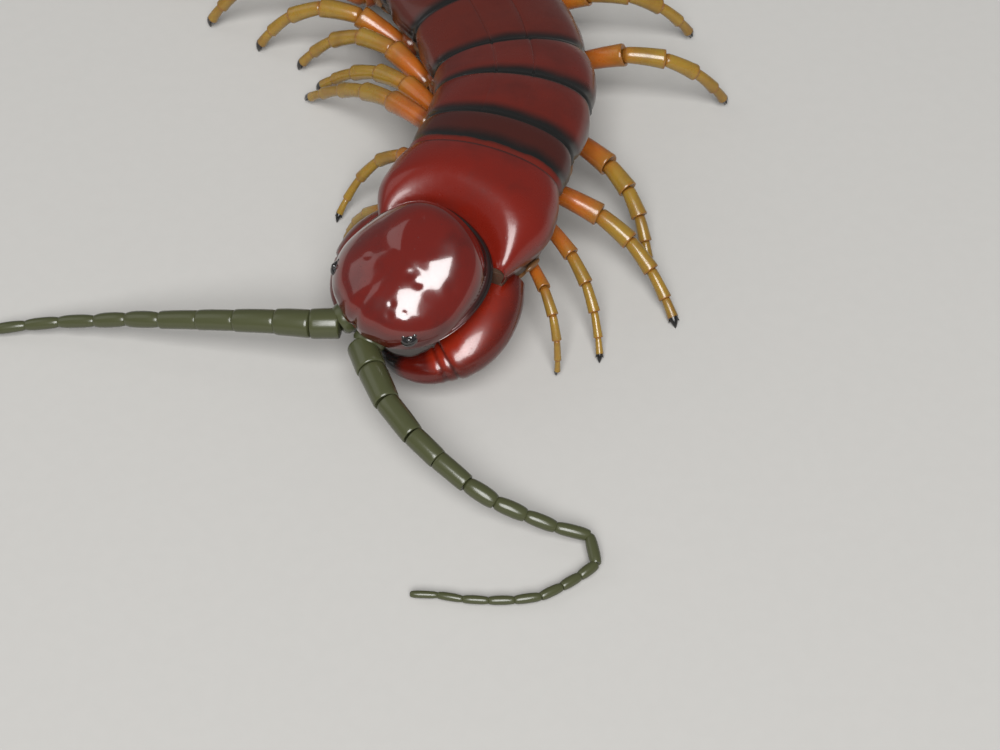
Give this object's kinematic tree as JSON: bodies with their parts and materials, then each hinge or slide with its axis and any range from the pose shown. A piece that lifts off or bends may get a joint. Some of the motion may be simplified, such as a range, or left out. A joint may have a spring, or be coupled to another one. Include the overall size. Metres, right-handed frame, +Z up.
{
  "type": "giant centipede",
  "caption": "Life-size still model of a giant centipede: domed head, plated trunk in a slow S curve, curled poison claws, jointed feelers, arched walking legs and a long last pair",
  "frame": {"origin": "on the floor, under the middle of the bounding box", "axes": "+Z up, head towards -Y, tail towards +Y, the animal's own left towards +X"},
  "size_m": [0.0672, 0.2032, 0.0122],
  "materials": {
    "head_shell": "glossy dark cherry-brown shell with fine pits",
    "back_plates": "glossy red to dark brown plates with black bands",
    "poison_claw_shell": "glossy orange-red shell with black tips",
    "leg_shell": "satin orange to olive-yellow shell with black claws",
    "feeler_shell": "glossy olive at the base, velvety towards the tip",
    "eye_glaze": "glossy black"
  },
  "bodies": {
    "root": {"antenna_left": "feeler_shell", "antenna_right": "feeler_shell", "eye_left": "eye_glaze", "eye_right": "eye_glaze", "head": "head_shell", "leg_last_left": "leg_shell", "leg_last_right": "leg_shell", "leg_left_01": "leg_shell", "leg_left_02": "leg_shell", "leg_left_03": "leg_shell", "leg_left_04": "leg_shell", "leg_left_05": "leg_shell", "leg_left_06": "leg_shell", "leg_left_07": "leg_shell", "leg_left_08": "leg_shell", "leg_left_09": "leg_shell", "leg_left_10": "leg_shell", "leg_left_11": "leg_shell", "leg_left_12": "leg_shell", "leg_left_13": "leg_shell", "leg_left_14": "leg_shell", "leg_left_15": "leg_shell", "leg_left_16": "leg_shell", "leg_left_17": "leg_shell", "leg_left_18": "leg_shell", "leg_left_19": "leg_shell", "leg_left_20": "leg_shell", "leg_right_01": "leg_shell", "leg_right_02": "leg_shell", "leg_right_03": "leg_shell", "leg_right_04": "leg_shell", "leg_right_05": "leg_shell", "leg_right_06": "leg_shell", "leg_right_07": "leg_shell", "leg_right_08": "leg_shell", "leg_right_09": "leg_shell", "leg_right_10": "leg_shell", "leg_right_11": "leg_shell", "leg_right_12": "leg_shell", "leg_right_13": "leg_shell", "leg_right_14": "leg_shell", "leg_right_15": "leg_shell", "leg_right_16": "leg_shell", "leg_right_17": "leg_shell", "leg_right_18": "leg_shell", "leg_right_19": "leg_shell", "leg_right_20": "leg_shell", "mouthparts": "poison_claw_shell", "poison_claw_base": "poison_claw_shell", "poison_claw_left": "poison_claw_shell", "poison_claw_right": "poison_claw_shell", "trunk_1": "back_plates", "trunk_2": "back_plates", "trunk_3": "back_plates", "trunk_4": "back_plates", "trunk_5": "back_plates", "trunk_6": "back_plates", "trunk_7": "back_plates"}
  },
  "joints": []
}
